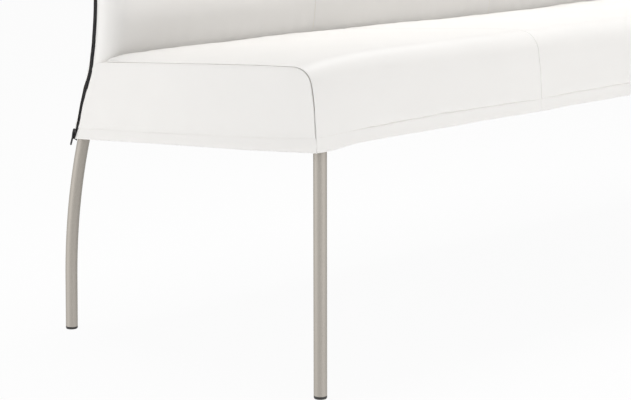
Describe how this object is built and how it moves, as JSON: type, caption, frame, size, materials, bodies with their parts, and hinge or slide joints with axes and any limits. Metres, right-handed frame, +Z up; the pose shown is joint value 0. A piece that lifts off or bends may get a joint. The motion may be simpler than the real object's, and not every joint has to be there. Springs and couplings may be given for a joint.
{
  "type": "upholstered dining bench",
  "caption": "Long upholstered dining bench with a curved high back, a zipped removable cover and round steel legs, the rear ones swept back.",
  "frame": {"origin": "centre of the bench's footprint on the floor", "axes": "+X along the bench, to the right as seen from the front; the front faces -Y; +Z up"},
  "size_m": [1.9186, 0.6091, 0.9533],
  "materials": {
    "steel_tube": "brushed along the tube",
    "glide": "moulded, satin",
    "steel_plate": "black powder coat",
    "screw": "zinc plated",
    "timber": "planed softwood",
    "plywood": "birch plywood",
    "foam": "open polyurethane foam",
    "lining": "spun-bonded lining cloth",
    "cover": "white artificial leather, fine grain, soft sheen",
    "wadding": "needled fleece",
    "zip_tape": "woven polyester tape",
    "zip_teeth": "nylon coil",
    "zip_metal": "black enamel"
  },
  "bodies": {
    "bench": {"front_leg_left": "steel_tube", "front_leg_right": "steel_tube", "rear_leg_left": "steel_tube", "rear_leg_right": "steel_tube", "glide_front_left": "glide", "glide_front_right": "glide", "glide_rear_left": "glide", "glide_rear_right": "glide", "leg_plate_front_left": "steel_plate", "leg_plate_front_right": "steel_plate", "leg_plate_rear_left": "steel_plate", "leg_plate_rear_right": "steel_plate", "leg_plate_screws": "screw", "front_rail": "timber", "rear_rail": "timber", "side_rail_left": "timber", "side_rail_right": "timber", "cross_rail_left": "timber", "cross_rail_right": "timber", "frame_screws": "screw", "seat_board": "plywood", "seat_board_screws": "screw", "seat_foam": "foam", "dust_cover": "lining", "back_post_left": "timber", "back_post_inner_left": "timber", "back_post_inner_right": "timber", "back_post_right": "timber", "back_top_rail": "timber", "back_post_screws": "screw", "back_board": "plywood", "back_foam": "foam", "back_lining": "lining", "seat_cover_left": "cover", "seat_cover_middle": "cover", "seat_cover_right": "cover", "side_panel_left": "cover", "side_panel_right": "cover", "side_wadding_left": "wadding", "side_wadding_right": "wadding", "hem_front": "cover", "hem_left": "cover", "hem_right": "cover", "hem_rear": "cover", "back_cover_left": "cover", "back_cover_inner_left": "cover", "back_cover_inner_right": "cover", "back_cover_right": "cover", "rear_panel": "cover", "zip_tape_front_left": "zip_tape", "zip_tape_rear_left": "zip_tape", "zip_tape_front_right": "zip_tape", "zip_tape_rear_right": "zip_tape", "zip_coil_left": "zip_teeth", "zip_coil_right": "zip_teeth", "zip_stops": "zip_metal"},
    "slider_left": {"zip_slider_left": "zip_metal"},
    "pull_left": {"zip_pull_left": "zip_metal"},
    "slider_right": {"zip_slider_right": "zip_metal"},
    "pull_right": {"zip_pull_right": "zip_metal"}
  },
  "joints": [
    {"name": "zip_slide_left", "type": "slide", "parent": "bench", "child": "slider_left", "axis": [0, -0.3665, 0.9304], "range_m": [0, 0.08]},
    {"name": "pull_swing_left", "type": "hinge", "parent": "slider_left", "child": "pull_left", "pos_m": [-0.95808, 0.23904, 0.34026], "axis": [0, 0.9304, 0.3665], "range_deg": [0, 175]},
    {"name": "zip_slide_right", "type": "slide", "parent": "bench", "child": "slider_right", "axis": [0, -0.3665, 0.9304], "range_m": [0, 0.08]},
    {"name": "pull_swing_right", "type": "hinge", "parent": "slider_right", "child": "pull_right", "pos_m": [0.95808, 0.23904, 0.34026], "axis": [0, -0.9304, -0.3665], "range_deg": [0, 175]}
  ]
}
